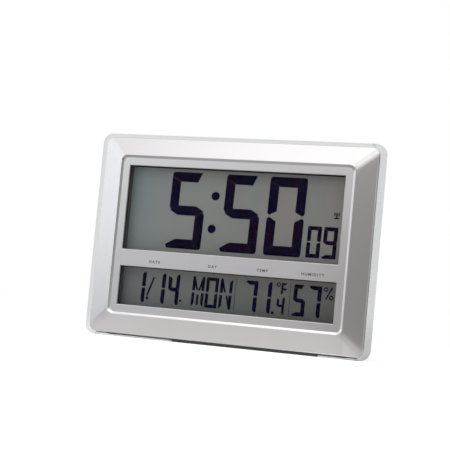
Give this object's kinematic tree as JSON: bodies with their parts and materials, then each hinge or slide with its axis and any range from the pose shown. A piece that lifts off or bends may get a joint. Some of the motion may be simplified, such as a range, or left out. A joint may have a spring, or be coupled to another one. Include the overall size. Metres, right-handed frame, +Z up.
{
  "type": "digital wall clock",
  "caption": "Radio-controlled digital wall clock with a silver sloping frame, clear rim, split LCD for time and date, rear buttons, battery door and fold-out stand.",
  "frame": {"origin": "middle of the footprint, on the surface the clock stands on", "axes": "+X to the viewer's right along the clock's width, +Y from the front to the back, +Z up"},
  "size_m": [0.23, 0.0878, 0.1585],
  "materials": {
    "silver_paint": "metallic silver lacquer on moulded ABS, satin",
    "clear_acrylic": "clear moulded acrylic, polished",
    "clear_lens": "clear acrylic sheet, polished",
    "black_plastic": "black moulded ABS, fine texture",
    "polariser_film": "grey-green polarising film, matt",
    "display_glass": "thin soda-lime glass",
    "reflector_film": "brushed reflective film",
    "connector_rubber": "striped silicone rubber",
    "circuit_board": "green solder resist on paper laminate",
    "switch_plastic": "black moulded plastic",
    "chip_resin": "black epoxy",
    "tinned_metal": "bright tinned can",
    "capacitor_sleeve": "dark blue shrink sleeve",
    "grey_plastic": "silver-grey moulded ABS, fine spark texture",
    "cell_jacket": "plain printed film over a steel can",
    "nickel_contact": "nickel-plated spring steel",
    "dark_plastic": "dark grey moulded ABS, fine texture",
    "pad_rubber": "soft black rubber",
    "ferrite": "ground sintered ferrite",
    "copper_winding": "enamelled copper wire, wound",
    "clip_plastic": "natural nylon",
    "sensor_plastic": "white moulded housing",
    "sensor_bead": "black epoxy bead",
    "black_insulation": "black insulation",
    "red_insulation": "red insulation",
    "enamel_wire": "enamelled copper wire",
    "white_insulation": "white insulation",
    "plated_steel": "zinc-plated steel",
    "button_plastic": "grey moulded plastic, satin"
  },
  "bodies": {
    "case": {"front_bezel": "silver_paint", "clear_surround": "clear_acrylic", "display_lens": "clear_lens", "lcd_holder": "black_plastic", "front_polariser": "polariser_film", "lcd_front_glass": "display_glass", "lcd_rear_glass": "display_glass", "rear_reflector": "reflector_film", "zebra_strip": "connector_rubber", "main_board": "circuit_board", "tact_switches": "switch_plastic", "controller_chip": "chip_resin", "crystal_can": "tinned_metal", "board_capacitors": "capacitor_sleeve", "rear_case": "grey_plastic", "upper_cell": "cell_jacket", "lower_cell": "cell_jacket", "bridge_contact": "nickel_contact", "negative_contact": "nickel_contact", "positive_contact": "nickel_contact", "contact_springs": "nickel_contact", "ferrite_rod": "ferrite", "antenna_coil": "copper_winding", "antenna_clips": "clip_plastic", "receiver_board": "circuit_board", "receiver_chip": "chip_resin", "sensor_board": "circuit_board", "humidity_sensor": "sensor_plastic", "thermistor": "sensor_bead", "battery_lead_black": "black_insulation", "battery_lead_red": "red_insulation", "antenna_leads": "enamel_wire", "sensor_leads": "white_insulation", "receiver_leads": "white_insulation", "case_screws": "plated_steel", "board_screws": "plated_steel", "holder_screws": "plated_steel"},
    "stand": {"stand": "dark_plastic", "stand_pads": "pad_rubber"},
    "battery_door": {"battery_door": "grey_plastic"},
    "mode_button": {"mode_button": "button_plastic"},
    "set_button": {"set_button": "button_plastic"},
    "up_button": {"up_button": "button_plastic"},
    "down_button": {"down_button": "button_plastic"},
    "unit_button": {"unit_button": "button_plastic"},
    "receive_button": {"receive_button": "button_plastic"}
  },
  "joints": [
    {"name": "stand_fold", "type": "hinge", "parent": "case", "child": "stand", "pos_m": [0, -0.01613, 0.0054], "axis": [1, 0, 0], "range_deg": [0, 90]},
    {"name": "battery_door_swing", "type": "hinge", "parent": "case", "child": "battery_door", "pos_m": [0, -0.01188, 0.0719], "axis": [-1, 0, 0], "range_deg": [0, 75]},
    {"name": "mode_press", "type": "slide", "parent": "case", "child": "mode_button", "axis": [0, -1, 0], "range_m": [0, 0.0005], "stiffness_N_per_m": 500},
    {"name": "set_press", "type": "slide", "parent": "case", "child": "set_button", "axis": [0, -1, 0], "range_m": [0, 0.0005], "stiffness_N_per_m": 500},
    {"name": "up_press", "type": "slide", "parent": "case", "child": "up_button", "axis": [0, -1, 0], "range_m": [0, 0.0005], "stiffness_N_per_m": 500},
    {"name": "down_press", "type": "slide", "parent": "case", "child": "down_button", "axis": [0, -1, 0], "range_m": [0, 0.0005], "stiffness_N_per_m": 500},
    {"name": "unit_press", "type": "slide", "parent": "case", "child": "unit_button", "axis": [0, -1, 0], "range_m": [0, 0.0005], "stiffness_N_per_m": 500},
    {"name": "receive_press", "type": "slide", "parent": "case", "child": "receive_button", "axis": [0, -1, 0], "range_m": [0, 0.0005], "stiffness_N_per_m": 500}
  ]
}
